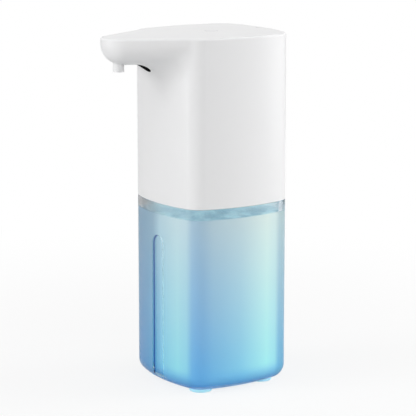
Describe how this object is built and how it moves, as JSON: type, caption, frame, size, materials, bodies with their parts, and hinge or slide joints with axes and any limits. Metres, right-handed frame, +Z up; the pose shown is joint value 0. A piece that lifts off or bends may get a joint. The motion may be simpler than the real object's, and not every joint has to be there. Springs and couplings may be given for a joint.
{
  "type": "soap dispenser",
  "caption": "Touchless soap dispenser: white head with a beak-like spout and sensor window, on a clear bowed-square tank with soft feet; lifts off to refill.",
  "frame": {"origin": "middle of the bounding box in plan, at the level of the feet; the tank's upright axis stands 16 mm behind it", "axes": "+Z up, -Y the way the spout points, +X to the right when the spout is seen pointing away"},
  "size_m": [0.07, 0.102, 0.193],
  "materials": {
    "clear_tank": "clear, thick-walled, polished",
    "feet": "soft translucent pad",
    "white_shell": "white, satin gloss",
    "black_window": "black, polished, passes infrared",
    "black_plastic": "black, matt",
    "ir_resin": "dark smoky resin",
    "circuit_board": "green solder mask",
    "white_nozzle": "white",
    "silicone": "translucent milky silicone",
    "key_lens": "white, faintly greyer than the shell",
    "light_pipe": "milky light pipe",
    "white_chassis": "white, satin",
    "screw_steel": "zinc-plated steel",
    "pump_plastic": "natural acetal",
    "gear_plastic": "natural acetal",
    "shaft_steel": "ground steel",
    "seal_rubber": "black nitrile",
    "motor_steel": "zinc-plated drawn can",
    "terminal_brass": "tinned brass",
    "battery_wrap": "plain shrink-wrapped cell",
    "socket_steel": "plated steel",
    "plug_rubber": "white silicone",
    "lead_red": "red soft-covered wire",
    "lead_black": "black soft-covered wire"
  },
  "bodies": {
    "tank": {"tank_bottle": "clear_tank", "tank_feet": "feet"},
    "head": {"head_housing": "white_shell", "sensor_window": "black_window", "sensor_holder": "black_plastic", "ir_emitter": "ir_resin", "ir_receiver": "ir_resin", "sensor_board": "circuit_board", "nozzle": "white_nozzle", "drip_valve": "silicone", "touch_key": "key_lens", "touch_board": "circuit_board", "charge_light": "light_pipe", "chassis": "white_chassis", "chassis_screws": "screw_steel", "tank_gasket": "silicone", "pump_body": "pump_plastic", "pump_gasket": "silicone", "pump_cover": "pump_plastic", "pump_screws": "screw_steel", "driven_pin": "shaft_steel", "shaft_seal": "seal_rubber", "motor_can": "motor_steel", "motor_cap": "black_plastic", "motor_terminals": "terminal_brass", "dip_tube": "silicone", "tube_strainer": "white_nozzle", "outlet_hose": "silicone", "battery_cell": "battery_wrap", "battery_holder": "black_plastic", "main_board": "circuit_board", "board_screws": "screw_steel", "charge_socket": "socket_steel", "vent_valve": "silicone", "motor_leads": "lead_red", "battery_leads": "lead_red", "sensor_lead": "lead_black", "touch_lead": "lead_black"},
    "rotor": {"motor_shaft": "shaft_steel", "drive_gear": "gear_plastic"},
    "driven": {"driven_gear": "gear_plastic"},
    "plug": {"charge_plug": "plug_rubber"}
  },
  "joints": [
    {"name": "head_lift", "type": "slide", "parent": "tank", "child": "head", "axis": [0, 0, 1], "range_m": [0, 0.115]},
    {"name": "motor_spin", "type": "hinge", "parent": "head", "child": "rotor", "pos_m": [-0.01633, 0.022, 0.115], "axis": [0, 0, 1], "continuous": true},
    {"name": "driven_gear_spin", "type": "hinge", "parent": "head", "child": "driven", "pos_m": [-0.00673, 0.022, 0.115], "axis": [0, 0, 1], "continuous": true},
    {"name": "plug_pull", "type": "slide", "parent": "head", "child": "plug", "axis": [0, 1, 0], "range_m": [0, 0.012]}
  ],
  "couplings": [
    {"joint": "driven_gear_spin", "follows": "motor_spin", "ratio": -1}
  ]
}
